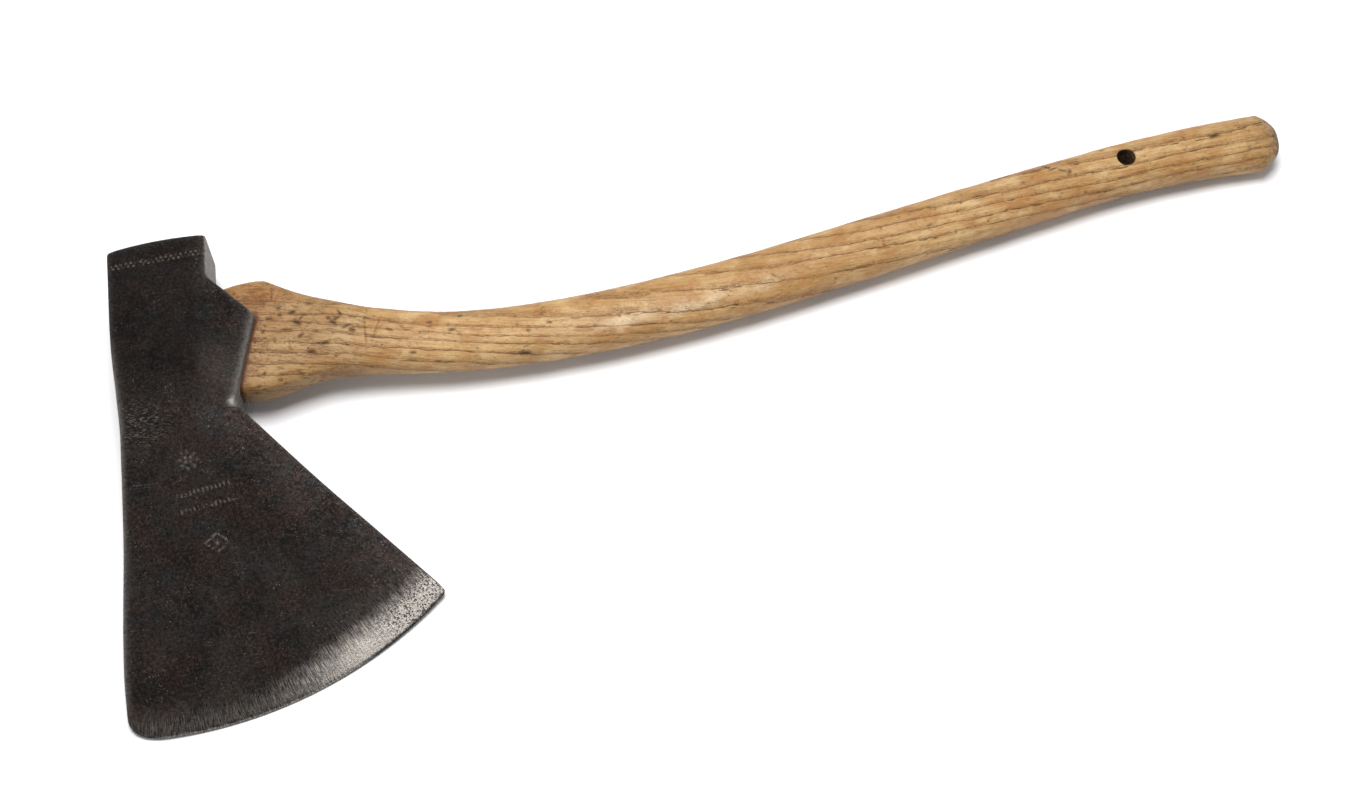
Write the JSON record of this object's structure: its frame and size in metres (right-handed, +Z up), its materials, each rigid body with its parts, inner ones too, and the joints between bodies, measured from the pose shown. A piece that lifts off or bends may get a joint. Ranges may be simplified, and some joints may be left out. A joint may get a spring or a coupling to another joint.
{
  "type": "broad axe",
  "caption": "Broad axe lying on its side: forged head with a fan-shaped blade and pointed lug, wedged on an S-curved ash haft with a hanging hole.",
  "frame": {"origin": "middle of the axe's footprint, on the surface that it lies on", "axes": "+X from the head to the butt of the haft, +Y from the cutting edge to the poll, +Z up off the surface"},
  "size_m": [0.7132, 0.3089, 0.0565],
  "materials": {
    "forged_iron": "dark forged skin with rust freckles",
    "edge_steel": "worn ground bevel that fades into the dark blade",
    "poll_steel": "dark, with a row of small weld marks",
    "ash_haft": "honey-coloured open grain, waxed by handling",
    "wedge_wood": "end grain, darkened",
    "wedge_iron": "rusty, hammered head"
  },
  "bodies": {
    "root": {"head_body": "forged_iron", "steel_bit": "edge_steel", "poll_plate": "poll_steel", "haft": "ash_haft", "wooden_wedge": "wedge_wood", "iron_wedge": "wedge_iron"}
  },
  "joints": []
}
